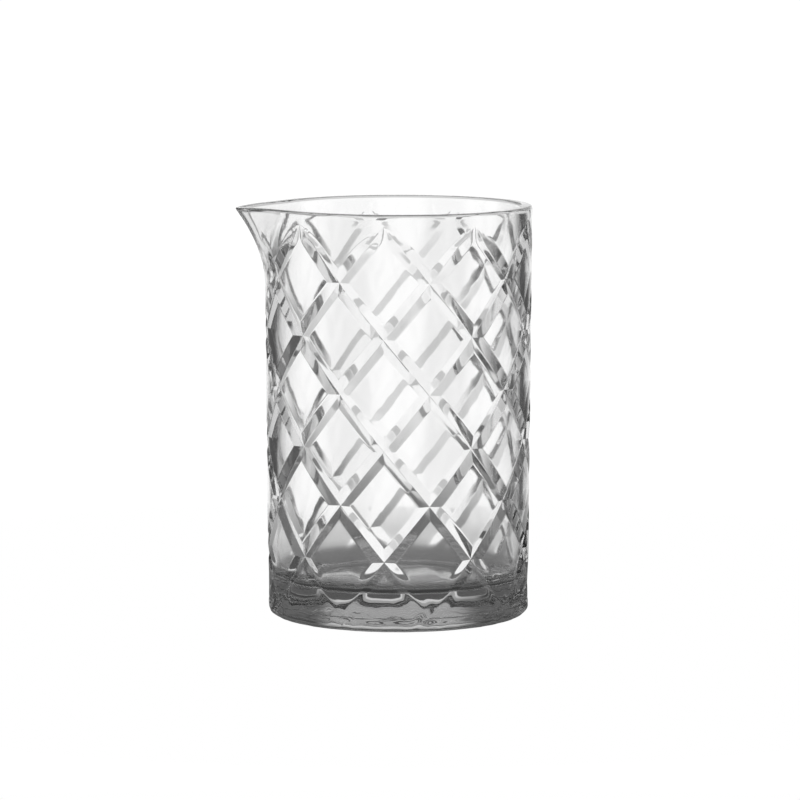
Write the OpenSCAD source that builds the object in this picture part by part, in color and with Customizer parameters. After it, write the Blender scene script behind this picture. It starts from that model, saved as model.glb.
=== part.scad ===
// Cocktail mixing glass: one piece of pressed soda-lime glass with a heavy base,
// a diamond lattice on the outside, a plain round bowl and a pulled pouring spout.
// The origin is the centre of the foot on the table, +Z is up, the spout points along -X.

/* [Overall] */
// Height from the table to the rim
height = 147; // [130:1:165]
// Diameter across the wall at the rim
rim_d = 95.8; // [94:0.1:104]
// Diameter that the wall has where it meets the foot
foot_d = 93.4; // [92:0.1:102]
// Radius of the rounded heel round the foot
heel_r = 3.6; // [2:0.1:4.5]

/* [Bowl] */
// Inside diameter of the bowl
bowl_d = 87; // [80:0.5:88]
// Thickness of the solid base under the bowl
base_t = 13; // [8:0.5:20]
// Radius between the bowl's floor and its wall
floor_r = 6; // [3:0.5:10]
// Radius of the fire-polished edge, outside and inside the rim
lip_r = 0.9; // [0.5:0.1:1.2]

/* [Lattice] */
// Number of diamonds in one row round the glass
diamonds = 9; // [7:1:12]
// Number of rows of whole diamonds up the wall
diamond_rows = 6; // [3:1:8]
// Distance from the rim down to the highest tips
plain_band = 4.4; // [3.8:0.1:8]
// Height of the lowest tips above the table
low_tips_z = 5.4; // [4.8:0.1:10]
// Depth of the grooves between the diamonds
groove_depth = 1.3; // [0.5:0.1:1.5]

/* [Spout] */
// How far the tip stands out from the wall
spout_reach = 11; // [6:0.5:14]
// Height of wall that the spout is drawn out of
spout_drop = 27; // [20:1:34]
// Thickness of the glass at the tip
spout_wall = 4.2; // [3:0.1:5]

/* [Hidden] */

// Facets round the outside: eight to a diamond, so that every groove follows an edge
bevels_per_diamond = 8;
facets = diamonds*bevels_per_diamond;
facet_angle = 360/facets;
// Rows of crossings are half a diamond apart, and each is turned by half a diamond
half_rows = diamond_rows + 1;
top_tips_z = height - plain_band;
diamond_h = 2*(top_tips_z - low_tips_z)/half_rows;
lattice_rings = half_rows*bevels_per_diamond/2;
// A groove is two bevels, each one facet wide
bevel = 1/bevels_per_diamond;
// The grooves run out into the plain band over this height
run_out = 2.2;
// Flats in each quarter round of the heel, the floor's edge and the lip
arc_steps = 3;
round_fn = 120;
bowl_r = bowl_d/2;
// The spout's outline swells towards the rim with this power of the height
spout_curve = 1.75;
// Where the spout stands out by this much, the lattice is stretched away
stretched_flat = 2;
// The channel inside the spout ends this far below the rim
channel_drop = 22;
glass_colour = [0.86, 0.9, 0.9, 0.45];
// Cutters pass this far beyond the face that they open
slack = 1;

// Outer radius of the plain wall, before grooves and spout
function wall_r(z) = foot_d/2 + (rim_d - foot_d)/2*z/height;

// Angle from the spout, 0 to 180
function from_spout(a) = abs(a > 180 ? a - 360 : a);

// Plan of the spout: two straight sides that leave a circle of radius r as tangents
function beak_r(r, tip, a) =
    let (side = acos(r/tip))
    a < side ? r/cos(side - a) : r;

function spout_tip(z) =
    wall_r(z) + spout_reach*pow(max(0, 1 - (height - z)/spout_drop), spout_curve);

function spout_bulge(a, z) = beak_r(wall_r(z), spout_tip(z), from_spout(a)) - wall_r(z);

// Distance from the nearest whole number, 0 to 0.5
function off_line(t) = abs(t - round(t));

// Depth of the two families of V-grooves that cross to leave the diamonds
function groove(a, z) =
    let (turn = a*diamonds/360,
         rise = (top_tips_z - z)/diamond_h,
         nearest = min(off_line(turn + rise), off_line(turn - rise)))
    groove_depth*max(0, 1 - nearest/bevel);

// Share of the groove that is left where the spout has been drawn out
function groove_left(bulge) = max(0, 1 - bulge/stretched_flat);

// A point of the outer surface, where a is measured round from the spout
function outer_point(a, z, inset, cut) =
    let (bulge = spout_bulge(a, z),
         r = wall_r(z) + bulge - inset - cut*groove(a, z)*groove_left(bulge))
    [-r*cos(a), -r*sin(a), z];

// Levels from the foot up, each [height, how far it is set in, whether it is grooved]
heel = [for (k = [0:arc_steps])
    [heel_r*(1 - cos(90*k/arc_steps)), heel_r*(1 - sin(90*k/arc_steps)), 0]];
lattice = [for (k = [0:lattice_rings])
    [low_tips_z + k*diamond_h/bevels_per_diamond, 0, 1]];
lip = [for (k = [0:arc_steps])
    [height - lip_r*(1 - sin(90*k/arc_steps)), lip_r*(1 - cos(90*k/arc_steps)), 0]];
levels = concat(heel, lattice, [[top_tips_z + run_out, 0, 0]], lip);
top_level = len(levels) - 1;

function ring(level, turn) =
    [for (i = [0:facets - 1]) outer_point((i + turn)*facet_angle, level[0], level[1], level[2])];

// Corners of the facets, level by level, then the middles of the facets
corners = [for (level = levels) each ring(level, 0)];
middles = [for (k = [0:top_level - 1]) each ring((levels[k] + levels[k + 1])/2, 0.5)];

// A grooved facet has four triangles that meet in its middle, and a plain one has two
function triangles(k, i) =
    let (next = (i + 1) % facets,
         low = k*facets,
         high = low + facets,
         rim = [low + i, high + i, high + next, low + next],
         middle = len(corners) + low + i,
         grooved = levels[k][2] + levels[k + 1][2] > 0)
    grooved ? [for (c = [0:3]) [rim[c], rim[(c + 1) % 4], middle]]
            : [[rim[0], rim[1], rim[2]], [rim[0], rim[2], rim[3]]];

// Solid outer shape, with no bowl in it
module outside() {
    sides = [for (k = [0:top_level - 1]) for (i = [0:facets - 1]) each triangles(k, i)];
    foot = [for (i = [0:facets - 1]) i];
    top = [for (i = [facets - 1:-1:0]) top_level*facets + i];
    polyhedron(concat(corners, middles), concat([foot, top], sides));
}

// What the plunger leaves: a straight round bore with a rounded floor and an eased mouth
module bowl() {
    corner = [for (k = [0:arc_steps])
        [bowl_r - floor_r*(1 - sin(90*k/arc_steps)), base_t + floor_r*(1 - cos(90*k/arc_steps))]];
    mouth = [for (k = [0:arc_steps])
        [bowl_r + lip_r*(1 - cos(90*k/arc_steps)), height - lip_r*(1 - sin(90*k/arc_steps))]];
    rotate_extrude($fn = round_fn)
        polygon(concat([[0, base_t]], corner, mouth,
                       [[bowl_r + lip_r, height + slack], [0, height + slack]]));
}

// The channel that the liquid leaves by: a beak at the rim that narrows into the bowl
module channel() {
    tip = spout_tip(height) - spout_wall;
    inner_r = bowl_r - slack;
    side = acos(inner_r/tip);
    end_z = height - channel_drop;
    hull() {
        translate([0, 0, height])
            linear_extrude(slack)
                polygon([[-tip, 0],
                         [-inner_r*cos(side), inner_r*sin(side)],
                         [-inner_r*cos(side), -inner_r*sin(side)]]);
        translate([-inner_r, 0, end_z])
            rotate([0, 90, 0])
                cylinder(h = slack, r = slack, $fn = 16, center = true);
    }
}

// The whole glass: it is pressed and fire-polished as one piece
module vessel() {
    color(glass_colour)
        difference() {
            outside();
            bowl();
            channel();
        }
}

vessel();
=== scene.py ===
import math

import bpy
import numpy as np
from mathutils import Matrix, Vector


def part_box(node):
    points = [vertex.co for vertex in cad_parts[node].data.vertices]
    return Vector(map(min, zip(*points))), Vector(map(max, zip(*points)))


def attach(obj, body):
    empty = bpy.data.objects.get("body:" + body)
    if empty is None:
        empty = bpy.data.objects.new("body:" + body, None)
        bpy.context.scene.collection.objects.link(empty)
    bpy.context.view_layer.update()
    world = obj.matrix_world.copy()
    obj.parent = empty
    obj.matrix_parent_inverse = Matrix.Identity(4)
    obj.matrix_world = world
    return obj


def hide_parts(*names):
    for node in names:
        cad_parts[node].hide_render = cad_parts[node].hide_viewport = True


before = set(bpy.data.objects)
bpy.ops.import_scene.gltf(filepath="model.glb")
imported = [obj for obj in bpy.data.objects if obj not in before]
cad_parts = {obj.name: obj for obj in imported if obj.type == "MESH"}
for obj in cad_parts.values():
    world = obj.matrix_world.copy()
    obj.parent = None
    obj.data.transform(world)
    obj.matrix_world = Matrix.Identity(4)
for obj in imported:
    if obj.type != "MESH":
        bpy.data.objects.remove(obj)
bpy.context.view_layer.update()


# ---- Outside of the glass -------------------------------------------------------------------
# The outer skin as the mould leaves it: a wall with a little draft, nine columns of diamonds
# between crossing V-grooves, a plain band under the rim, a rounded heel and a flat foot with a
# shallow hollow. The spout is pulled out of the hot rim and stretches the lattice away under it.
# Sizes are in metres. BEVEL is a share of a diamond's width, and the softness and rounding of the
# grooves' edges and valleys are shares of a bevel's.
vessel_low, vessel_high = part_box("vessel")
HEIGHT = vessel_high.z - vessel_low.z
RIM_R = vessel_high.x
DRAFT = 0.0012
FOOT_R = RIM_R - DRAFT
HEEL_R = 0.0036
DIAMONDS = 9
HALF_ROWS = 7
PLAIN_BAND = 0.0044
TOP_TIPS_Z = HEIGHT - PLAIN_BAND
LOW_TIPS_Z = 0.0054
DIAMOND_H = 2 * (TOP_TIPS_Z - LOW_TIPS_Z) / HALF_ROWS
GROOVE_DEPTH = 0.0013
BEVEL = 0.125
EDGE_SOFTNESS = 0.04
MITRE_ANGLE = math.radians(14)
VALLEY_ROUNDING = 0.02
RUN_OUT = 0.0005
TOP_FADE = 0.008
LOW_FADE_Z = (0.0, 0.020)
LOW_SOFT_Z = (0.013, 0.024)
LOW_SOFTNESS = 0.5
LOW_VALLEY_ROUNDING = 0.5
SPOUT_REACH = -vessel_low.x - RIM_R
SPOUT_DROP = 0.027
SPOUT_CURVE = 1.75
SPOUT_DIP = 0.0006
TIP_ROUNDING = math.radians(3.0)
STRETCHED_FLAT = 0.002
CROSSING_SOFTNESS = 0.3
LOW_WAVES_TO = 0.013
LOW_WAVE_DEPTH = 0.00007
# Each slanting wave: how fast it runs round and up the glass, and where it starts
LOW_WAVES = ((31, 700, 0), (47, -1100, 1), (18, 0, 2))
# One level wave: how fast it runs up the glass, and how often and how far it bends
LEVEL_WAVE_UP = 900
LEVEL_WAVE_BENDS = 13
LEVEL_WAVE_BEND = 3

# Places of the edge loops across one diamond, in shares of its width from one groove to the
# middle of the pad: close together where the groove's valley and the pad's edges are rounded.
HALF_STEPS = (0, 0.003, 0.008, 0.02, 0.05, 0.085, 0.108, 0.118, 0.125,
              0.132, 0.142, 0.165, 0.2, 0.26, 0.33, 0.41)
STEPS = [*HALF_STEPS, 0.5, *(1 - s for s in HALF_STEPS[:0:-1])]
LOOPS = len(STEPS)
AROUND = DIAMONDS * LOOPS


def loop_place(index):
    """Place of an edge loop, counted in diamonds from the spout."""
    return index // LOOPS + np.array(STEPS)[index % LOOPS]


def soft_floor(value, softness):
    """max(value, 0) with a rounded corner."""
    return 0.5 * (value + np.sqrt(value * value + softness * softness))


def wall_radius(z):
    """Radius of the plain wall, before grooves and spout."""
    return FOOT_R + (RIM_R - FOOT_R) * z / HEIGHT


def beak_radius(radius, tip, turn):
    """Plan of the spout: two straight sides that leave the round wall as tangents."""
    side = np.arccos(radius / tip)
    off_tip = np.sqrt(turn * turn + TIP_ROUNDING ** 2) - TIP_ROUNDING
    return np.where(off_tip < side, radius / np.cos(np.maximum(side - off_tip, 0)), radius)


def spout_bulge(turn, z):
    """How far the spout stands out from the round wall."""
    swell = np.clip(1 - (HEIGHT - z) / SPOUT_DROP, 0, 1) ** SPOUT_CURVE
    radius = wall_radius(z)
    return beak_radius(radius, radius + SPOUT_REACH * swell, turn) - radius


def smooth_step(value):
    """0 up to 0, 1 from 1 on, and a smooth slope between."""
    value = np.clip(value, 0, 1)
    return value * value * (3 - 2 * value)


def full_depth(z):
    """How deep a groove goes at height z: it runs out under the rim and over the base."""
    under_rim = smooth_step((TOP_TIPS_Z + RUN_OUT - z) / TOP_FADE)
    over_base = np.clip((z - LOW_FADE_Z[0]) / (LOW_FADE_Z[1] - LOW_FADE_Z[0]), 0, 1)
    return under_rim * over_base


def groove_share(place, fall, z):
    """Depth of the crossing grooves, 0 on a pad and 1 in a full valley. The edges soften low down."""
    low = smooth_step((LOW_SOFT_Z[1] - z) / (LOW_SOFT_Z[1] - LOW_SOFT_Z[0]))
    softness = EDGE_SOFTNESS + (LOW_SOFTNESS - EDGE_SOFTNESS) * low
    rounding = VALLEY_ROUNDING + (LOW_VALLEY_ROUNDING - VALLEY_ROUNDING) * low
    depths = []
    for line in (place + fall, place - fall):
        off_line = np.abs(line - np.round(line)) / BEVEL
        valley = np.sqrt(off_line ** 2 + rounding ** 2)
        depths.append(soft_floor(full_depth(z) - valley, softness))
    return depths[1] + soft_floor(depths[0] - depths[1], CROSSING_SOFTNESS * low)


def turn_of(place):
    """Angle from the spout, from -pi to pi."""
    turn = place * 2 * math.pi / DIAMONDS
    return (turn + math.pi) % (2 * math.pi) - math.pi


def low_waves(turn, z):
    """Unevenness where the hot glass met the cold bottom of the mould."""
    fade = smooth_step((LOW_WAVES_TO - z) / LOW_WAVES_TO)
    waves = sum(np.sin(around * turn + up * z + start) for around, up, start in LOW_WAVES)
    bend = LEVEL_WAVE_BEND * np.sin(LEVEL_WAVE_BENDS * turn)
    return LOW_WAVE_DEPTH * fade * (waves + np.sin(LEVEL_WAVE_UP * z + bend))


def skin_points(place, z, share, inset=0.0):
    """Points of the outer skin. The spout is at place 0, along -X."""
    turn = turn_of(place)
    inset = inset + low_waves(turn, z)
    bulge = spout_bulge(turn, z)
    left = smooth_step(1 - bulge / STRETCHED_FLAT)
    radius = wall_radius(z) + bulge - inset - GROOVE_DEPTH * share * left
    dip = SPOUT_DIP * (bulge / SPOUT_REACH) ** 2
    return np.stack([-radius * np.cos(turn), -radius * np.sin(turn), z - dip], axis=-1)


class Shell:
    """Vertices and faces of the glass as they are added, ring by ring."""

    def __init__(self):
        self.points = []
        self.faces = []
        self.count = 0

    def add(self, points):
        """Takes in new points and returns their numbers."""
        points = np.asarray(points).reshape(-1, 3)
        first = self.count
        self.points.append(points)
        self.count += len(points)
        return first + np.arange(len(points))

    def band(self, lower, upper):
        """Faces between two rings of the same number of points."""
        for i in range(len(lower)):
            j = (i + 1) % len(lower)
            self.faces.append((lower[i], lower[j], upper[j], upper[i]))

    def cap(self, ring, centre, upwards):
        """Faces from a ring to one point in its middle."""
        for i in range(len(ring)):
            j = (i + 1) % len(ring)
            self.faces.append((ring[i], ring[j], centre) if upwards else (ring[j], ring[i], centre))


shell = Shell()
falls = HALF_ROWS * LOOPS
# Each vertex of the lattice is where two edge loops cross, one of either family of grooves.
start_index, fall_index = np.meshgrid(np.arange(AROUND), np.arange(falls + 1), indexing="ij")
first_line = loop_place(start_index + fall_index)
second_line = loop_place(start_index)
place = (first_line + second_line) / 2
fall = (first_line - second_line) / 2
lattice_z = TOP_TIPS_Z - fall * DIAMOND_H
lattice_share = groove_share(place, fall, lattice_z)
lattice = shell.add(skin_points(place, lattice_z, lattice_share)).reshape(place.shape)


def ridge_splits(start, down):
    """Which way the mitre of two bevels runs through the quad right of this vertex, if one does."""
    one = (start + down) % LOOPS
    two = start % LOOPS
    if one == two:
        return "level"
    if one + two + 1 == LOOPS:
        return "upright"
    return ""


for start in range(AROUND):
    after = (start + 1) % AROUND
    for down in range(falls + 1):
        here = lattice[start, down]
        across = lattice[after, down]
        if down == 0:
            shell.faces.append((here, lattice[start, 1], across))
            continue
        above = lattice[after, down - 1]
        if down == falls:
            shell.faces.append((here, across, above))
            continue
        below = lattice[start, down + 1]
        mitre = ridge_splits(start, down)
        if mitre == "level":
            shell.faces += [(here, below, across), (here, across, above)]
        elif mitre == "upright":
            shell.faces += [(here, below, above), (below, across, above)]
        else:
            shell.faces.append((here, below, across, above))

# Plain band and outer half of the fire-polished lip
BAND_RISES = (0.0002, 0.0004, 0.0007, 0.001, 0.0014, 0.002)
LIP_R = 0.001
LIP_STEPS = 7
top_place = loop_place(np.arange(AROUND))
off_tip = np.abs(top_place - np.round(top_place)) / BEVEL
outer_ring = lattice[:, 0]
for rise in BAND_RISES:
    z = np.full(AROUND, TOP_TIPS_Z + rise)
    share = soft_floor(full_depth(z) - off_tip - rise / RUN_OUT, EDGE_SOFTNESS)
    ring = shell.add(skin_points(top_place, z, share))
    shell.band(outer_ring, ring)
    outer_ring = ring
for step in range(LIP_STEPS + 1):
    angle = math.pi / 2 * step / LIP_STEPS
    z = np.full(AROUND, HEIGHT - LIP_R * (1 - math.sin(angle)))
    ring = shell.add(skin_points(top_place, z, 0, LIP_R * (1 - math.cos(angle))))
    shell.band(outer_ring, ring)
    outer_ring = ring

# Heel, foot and the shallow hollow under it, with the rings that the mould's turned bottom leaves
HEEL_DROPS = (0.0004, 0.0008, 0.0013)
HEEL_STEPS = 8
RESTING_R = 0.0405
HOLLOW_DEPTH = 0.0005
HOLLOW_EDGE = 0.006
RING_DEPTH = 0.0002
RING_PITCH = 0.006
# The rings wander in lobes: how many there are round the foot, and where they start
RING_LOBES = ((9, 0), (5, 1))
FOOT_STEPS = 90
low_place = place[:, falls]
off_tip = np.abs(low_place - np.floor(low_place) - 0.5) / BEVEL
lower_ring = lattice[:, falls]
low_valley = np.sqrt(off_tip ** 2 + LOW_VALLEY_ROUNDING ** 2)
for drop in HEEL_DROPS:
    z = np.full(AROUND, LOW_TIPS_Z - drop)
    share = soft_floor(full_depth(z) - low_valley, LOW_SOFTNESS)
    ring = shell.add(skin_points(low_place, z, share))
    shell.band(ring, lower_ring)
    lower_ring = ring
for step in range(HEEL_STEPS + 1):
    angle = math.pi / 2 * step / HEEL_STEPS
    z = np.full(AROUND, HEEL_R * (1 - math.sin(angle)))
    left = share * math.cos(angle) ** 2
    ring = shell.add(skin_points(low_place, z, left, HEEL_R * (1 - math.cos(angle))))
    shell.band(ring, lower_ring)
    lower_ring = ring
low_turn = turn_of(low_place)
lobes = sum(np.sin(count * low_turn + start) for count, start in RING_LOBES)
for step in range(FOOT_STEPS + 1):
    radius = RESTING_R * (1 - step / (FOOT_STEPS + 1))
    sunk = min(1, (RESTING_R - radius) / HOLLOW_EDGE)
    along = 2 * math.pi * (RESTING_R - radius) / RING_PITCH
    rings = RING_DEPTH * (1 - np.cos(along + sunk * lobes)) / 2 * sunk
    z = HOLLOW_DEPTH * smooth_step(sunk) + rings
    ring = shell.add(np.stack([-radius * np.cos(low_turn), -radius * np.sin(low_turn), z], axis=-1))
    shell.band(ring, lower_ring)
    lower_ring = ring
shell.cap(lower_ring, shell.add([[0, 0, z[0]]])[0], upwards=False)


# ---- Inside of the glass --------------------------------------------------------------------
# The plain round bowl that the plunger leaves, with a rounded floor over the heavy base. Its
# rim meets the outside in the fire-polished lip, and it follows the spout out to the tip.
BOWL_R = 0.0435
BASE_T = 0.013
FLOOR_R = 0.006
TIP_WALL = 0.0042
CHANNEL_DROP = 0.025
CHANNEL_CURVE = 1.5
INNER_STEPS = 60
FLOOR_STEPS = 10
FLOOR_LOOPS = (0.85, 0.65, 0.45, 0.25, 0.1)
channel_reach = -vessel_low.x - TIP_WALL - BOWL_R
top_turn = turn_of(top_place)


def bowl_points(z, inset=0.0):
    """A ring of the bowl's wall at height z, pushed in from it by inset."""
    swell = np.clip(1 - (HEIGHT - z) / CHANNEL_DROP, 0, 1) ** CHANNEL_CURVE
    radius = beak_radius(BOWL_R, BOWL_R + channel_reach * swell, top_turn)
    dip = SPOUT_DIP * ((radius - BOWL_R) / channel_reach) ** 2
    radius = radius - inset
    return np.stack([-radius * np.cos(top_turn), -radius * np.sin(top_turn), z - dip], axis=-1)


inner_ring = outer_ring
for step in range(LIP_STEPS, -1, -1):
    angle = math.pi / 2 * step / LIP_STEPS
    z = np.full(AROUND, HEIGHT - LIP_R * (1 - math.sin(angle)))
    ring = shell.add(bowl_points(z, -LIP_R * (1 - math.cos(angle))))
    shell.band(inner_ring, ring)
    inner_ring = ring
wall_top = HEIGHT - LIP_R
wall_foot = BASE_T + FLOOR_R
for step in range(1, INNER_STEPS + 1):
    z = np.full(AROUND, wall_top + (wall_foot - wall_top) * step / INNER_STEPS)
    ring = shell.add(bowl_points(z))
    shell.band(inner_ring, ring)
    inner_ring = ring
for step in range(1, FLOOR_STEPS + 1):
    angle = math.pi / 2 * step / FLOOR_STEPS
    z = np.full(AROUND, wall_foot - FLOOR_R * math.sin(angle))
    ring = shell.add(bowl_points(z, FLOOR_R * (1 - math.cos(angle))))
    shell.band(inner_ring, ring)
    inner_ring = ring
floor_edge = BOWL_R - FLOOR_R
for loop in FLOOR_LOOPS:
    radius = floor_edge * loop
    ring = shell.add(np.stack([-radius * np.cos(top_turn), -radius * np.sin(top_turn),
                               np.full(AROUND, BASE_T)], axis=-1))
    shell.band(inner_ring, ring)
    inner_ring = ring
shell.cap(inner_ring, shell.add([[0, 0, BASE_T]])[0], upwards=True)

vessel_mesh = bpy.data.meshes.new("mixing_glass")
vessel_mesh.from_pydata(np.concatenate(shell.points).tolist(), [], shell.faces)
vessel_mesh.validate()
vessel_mesh.update()
vessel_mesh.shade_smooth()
vessel_mesh.set_sharp_from_angle(angle=MITRE_ANGLE)
vessel = bpy.data.objects.new("mixing_glass", vessel_mesh)
bpy.context.scene.collection.objects.link(vessel)
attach(vessel, "root")
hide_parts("vessel")

# Clear soda-lime glass, which takes a little of the light on a long way through it, as in the base.
# The mould polishes the outside, and the plunger leaves the bowl faintly hazy and slowly waved.
GLASS_IOR = 1.52
TAKEN_PER_METRE = 6
MOULD_HAZE = 0.004
BOWL_HAZE = 0.055
EVEN_HAZE = 0.5
# The bowl's haze ends between these distances outside its wall and below its floor.
BOWL_SKIN_SIDE = (0.0002, 0.001)
BOWL_SKIN_BELOW = (0.002, 0.001)
WAVES_PER_METRE = 70
WAVE_DEPTH = 0.00012
glass = bpy.data.materials.new("clear_glass")
glass.use_nodes = True
nodes = glass.node_tree.nodes
links = glass.node_tree.links
shader = nodes["Principled BSDF"]
shader.inputs["Base Color"].default_value = (1, 1, 1, 1)
shader.inputs["Transmission Weight"].default_value = 1
shader.inputs["IOR"].default_value = GLASS_IOR
where = nodes.new("ShaderNodeTexCoord")
split = nodes.new("ShaderNodeSeparateXYZ")
links.new(where.outputs["Object"], split.inputs[0])
across = nodes.new("ShaderNodeCombineXYZ")
links.new(split.outputs["X"], across.inputs["X"])
links.new(split.outputs["Y"], across.inputs["Y"])
reach = nodes.new("ShaderNodeVectorMath")
reach.operation = "LENGTH"
links.new(across.outputs[0], reach.inputs[0])


def ramp(value, low, high, out_low, out_high):
    """A smooth step of one socket, from out_low at low to out_high at high, in the tree at hand."""
    node = nodes.new("ShaderNodeMapRange")
    node.interpolation_type = "SMOOTHSTEP"
    links.new(value, node.inputs["Value"])
    node.inputs["From Min"].default_value = low
    node.inputs["From Max"].default_value = high
    node.inputs["To Min"].default_value = out_low
    node.inputs["To Max"].default_value = out_high
    return node.outputs["Result"]


def work(kind, first, second=0):
    """One step of arithmetic on sockets or plain numbers, in the tree at hand."""
    node = nodes.new("ShaderNodeMath")
    node.operation = kind
    for socket, value in zip(node.inputs, (first, second)):
        if isinstance(value, (int, float)):
            socket.default_value = value
        else:
            links.new(value, socket)
    return node.outputs[0]


near_wall = ramp(reach.outputs["Value"], BOWL_R + BOWL_SKIN_SIDE[0], BOWL_R + BOWL_SKIN_SIDE[1], 1, 0)
over_base = ramp(split.outputs["Z"], BASE_T - BOWL_SKIN_BELOW[0], BASE_T - BOWL_SKIN_BELOW[1], 0, 1)
bowl_haze = work("MULTIPLY", work("MULTIPLY", near_wall, over_base), BOWL_HAZE)
waves = nodes.new("ShaderNodeTexNoise")
waves.inputs["Scale"].default_value = WAVES_PER_METRE
waves.inputs["Detail"].default_value = 1
links.new(where.outputs["Object"], waves.inputs["Vector"])
swell = nodes.new("ShaderNodeBump")
swell.inputs["Distance"].default_value = WAVE_DEPTH
links.new(waves.outputs["Fac"], swell.inputs["Height"])
links.new(swell.outputs["Normal"], shader.inputs["Normal"])
patches = work("ADD", waves.outputs["Fac"], EVEN_HAZE)
haze = work("MULTIPLY", patches, work("ADD", MOULD_HAZE, bowl_haze))
links.new(haze, shader.inputs["Roughness"])
tint = nodes.new("ShaderNodeVolumeAbsorption")
tint.inputs["Color"].default_value = (0, 0, 0, 1)
tint.inputs["Density"].default_value = TAKEN_PER_METRE
links.new(tint.outputs["Volume"], nodes["Material Output"].inputs["Volume"])
vessel_mesh.materials.append(glass)


# ---- Floor ----------------------------------------------------------------------------------
# A plain pale tabletop that glows. The camera sees it evenly white. What the glass shows of it is a
# painted shade: dark under the foot and close round it, and lighter further out. The shade is set by
# distance from the middle and is not cast by the glass.
TOP_R = 0.28
TOP_SIDES = 128
PAINTED_SHADE_UNDER_FOOT = 0.04
PAINTED_SHADE_CLOSE_BY = 0.14
PAINTED_GLOW_FAR_OUT = 0.8
PAINTED_SHADE_FROM = 0.07
PAINTED_SHADE_EDGE = 0.006
FLOOR_GAP = 0.00005
floor_mesh = bpy.data.meshes.new("pale_floor")
edge_turns = [2 * math.pi * k / TOP_SIDES for k in range(TOP_SIDES)]
edge = [(TOP_R * math.cos(turn), TOP_R * math.sin(turn), 0) for turn in edge_turns]
floor_mesh.from_pydata(edge, [], [list(range(TOP_SIDES))])
floor = bpy.data.objects.new("pale_floor", floor_mesh)
bpy.context.scene.collection.objects.link(floor)
floor.location.z = -FLOOR_GAP
tabletop = bpy.data.materials.new("pale_tabletop_painted_shade")
tabletop.use_nodes = True
nodes = tabletop.node_tree.nodes
links = tabletop.node_tree.links
nodes.clear()
here = nodes.new("ShaderNodeTexCoord")
reach = nodes.new("ShaderNodeVectorMath")
reach.operation = "LENGTH"
links.new(here.outputs["Object"], reach.inputs[0])
from_foot = reach.outputs["Value"]
# Painted shade: the floor's glow is dark under the foot and close round it, and rises further out.
painted_shade = work("ADD", ramp(from_foot, FOOT_R - PAINTED_SHADE_EDGE, FOOT_R, PAINTED_SHADE_UNDER_FOOT, PAINTED_SHADE_CLOSE_BY),
             ramp(from_foot, PAINTED_SHADE_FROM, TOP_R, 0, PAINTED_GLOW_FAR_OUT - PAINTED_SHADE_CLOSE_BY))
# Through Is Camera Ray the camera sees the floor evenly white. All other rays see the painted shade.
seen = nodes.new("ShaderNodeLightPath")
painted_floor_glow = nodes.new("ShaderNodeEmission")
links.new(work("MAXIMUM", painted_shade, seen.outputs["Is Camera Ray"]), painted_floor_glow.inputs["Strength"])
out = nodes.new("ShaderNodeOutputMaterial")
links.new(painted_floor_glow.outputs[0], out.inputs["Surface"])
floor_mesh.materials.append(tabletop)


# ---- Light ----------------------------------------------------------------------------------
# A plain white studio: four backdrops stand low round the table with dark gaps between them. Over
# each is a dimmer wall. The ground below is grey, and darkest before the backdrops, but for one
# lighter strip in front of each.
PANEL_GLOW = 1.04
WALL_GLOW = 0.6
CEILING_GLOW = 0.2
GAP_GLOW = 0.08
GROUND_GLOW = 0.15
LOW_GROUND_GLOW = 0.6
GAP_GROUND_GLOW = 0.8
RUN_OUT_GLOW = 0.68
# Bearings are turned from +Y towards +X, sides are the angles from a backdrop's middle between
# which it ends, and the pairs of heights are elevations in degrees.
PANEL_BEARING = math.radians(5)
PANEL_SIDE = (math.radians(17), math.radians(30))
RUN_OUT_BEARING = math.radians(12)
RUN_OUT_SIDE = (math.radians(13), math.radians(18))
PANEL_TOP = (5, 8)
CEILING = (6, 13)
PANEL_FOOT = (-13.5, -11.5)
GAP_FOOT = (-11, -8)
OVERHEAD = (28, 45)
OVERHEAD_SHARE = 0.4
LOW_GROUND = (-25, -17)
world = bpy.data.worlds.new("studio")
world.use_nodes = True
bpy.context.scene.world = world
nodes = world.node_tree.nodes
links = world.node_tree.links
sky = nodes["Background"]
sky.inputs["Color"].default_value = (1, 1, 1, 1)
where = nodes.new("ShaderNodeTexCoord")
split = nodes.new("ShaderNodeSeparateXYZ")
links.new(where.outputs["Generated"], split.inputs[0])
bearing = work("ARCTAN2", split.outputs["X"], split.outputs["Y"])


def climb(elevations, low, high):
    """A smooth step from low to high between two elevations in degrees."""
    rises = [math.sin(math.radians(e)) for e in elevations]
    return ramp(split.outputs["Z"], rises[0], rises[1], low, high)


def four_fold(middle, side):
    """1 at the bearings of the backdrops and 0 in the gaps between them."""
    return ramp(work("PINGPONG", work("SUBTRACT", bearing, middle), math.pi / 4), *side, 1, 0)


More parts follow.
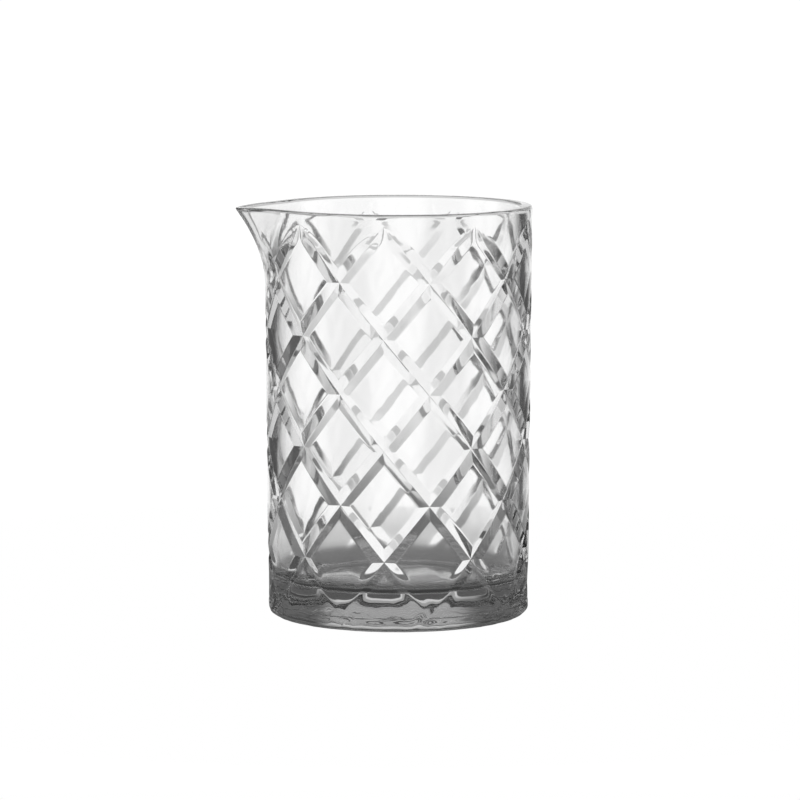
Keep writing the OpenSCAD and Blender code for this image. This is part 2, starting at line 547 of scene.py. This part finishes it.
def blend(share, low, high):
    """A mix of two values: low where share is 0, and high where it is 1."""
    return work("ADD", low, work("MULTIPLY", share, work("SUBTRACT", high, low)))


backdrop = four_fold(PANEL_BEARING, PANEL_SIDE)
gap = work("MAXIMUM", climb(CEILING, GAP_GLOW, CEILING_GLOW), climb(GAP_FOOT, GAP_GROUND_GLOW, 0))
room = blend(backdrop, gap, climb(PANEL_TOP, PANEL_GLOW, WALL_GLOW))
room = work("MULTIPLY", room, climb(OVERHEAD, 1, OVERHEAD_SHARE))
ground = blend(backdrop, GAP_GROUND_GLOW, climb(LOW_GROUND, LOW_GROUND_GLOW, GROUND_GLOW))
ground = blend(four_fold(RUN_OUT_BEARING, RUN_OUT_SIDE), ground, RUN_OUT_GLOW)
seen = nodes.new("ShaderNodeLightPath")
glow = work("MAXIMUM", blend(climb(PANEL_FOOT, 0, 1), ground, room), seen.outputs["Is Camera Ray"])
links.new(glow, sky.inputs["Strength"])


# ---- Camera ---------------------------------------------------------------------------------
# A long lens a little above the rim, turned slightly towards the spout. The small shift sets the
# glass sideways in the frame.
CAMERA_DISTANCE = 1.6085
CAMERA_HEIGHT = 0.27356
CAMERA_TURN = math.radians(3.8)
CAMERA_PITCH = 0.1217
SENSOR = 36
LENS = 203.427
CAMERA_SHIFT = 0.0021
CLIP_END = 50
camera_data = bpy.data.cameras.new("camera")
camera = bpy.data.objects.new("camera", camera_data)
bpy.context.scene.collection.objects.link(camera)
camera.location = (-CAMERA_DISTANCE * math.sin(CAMERA_TURN),
                   -CAMERA_DISTANCE * math.cos(CAMERA_TURN), CAMERA_HEIGHT)
camera.rotation_euler = (math.pi / 2 - CAMERA_PITCH, 0, -CAMERA_TURN)
camera_data.sensor_width = SENSOR
camera_data.lens = LENS
camera_data.shift_x = CAMERA_SHIFT
camera_data.clip_end = CLIP_END
bpy.context.scene.camera = camera

scene = bpy.context.scene
scene.view_settings.view_transform = "Standard"
scene.cycles.max_bounces = 32
scene.cycles.transmission_bounces = 32
scene.cycles.glossy_bounces = 16
scene.cycles.use_denoising = True
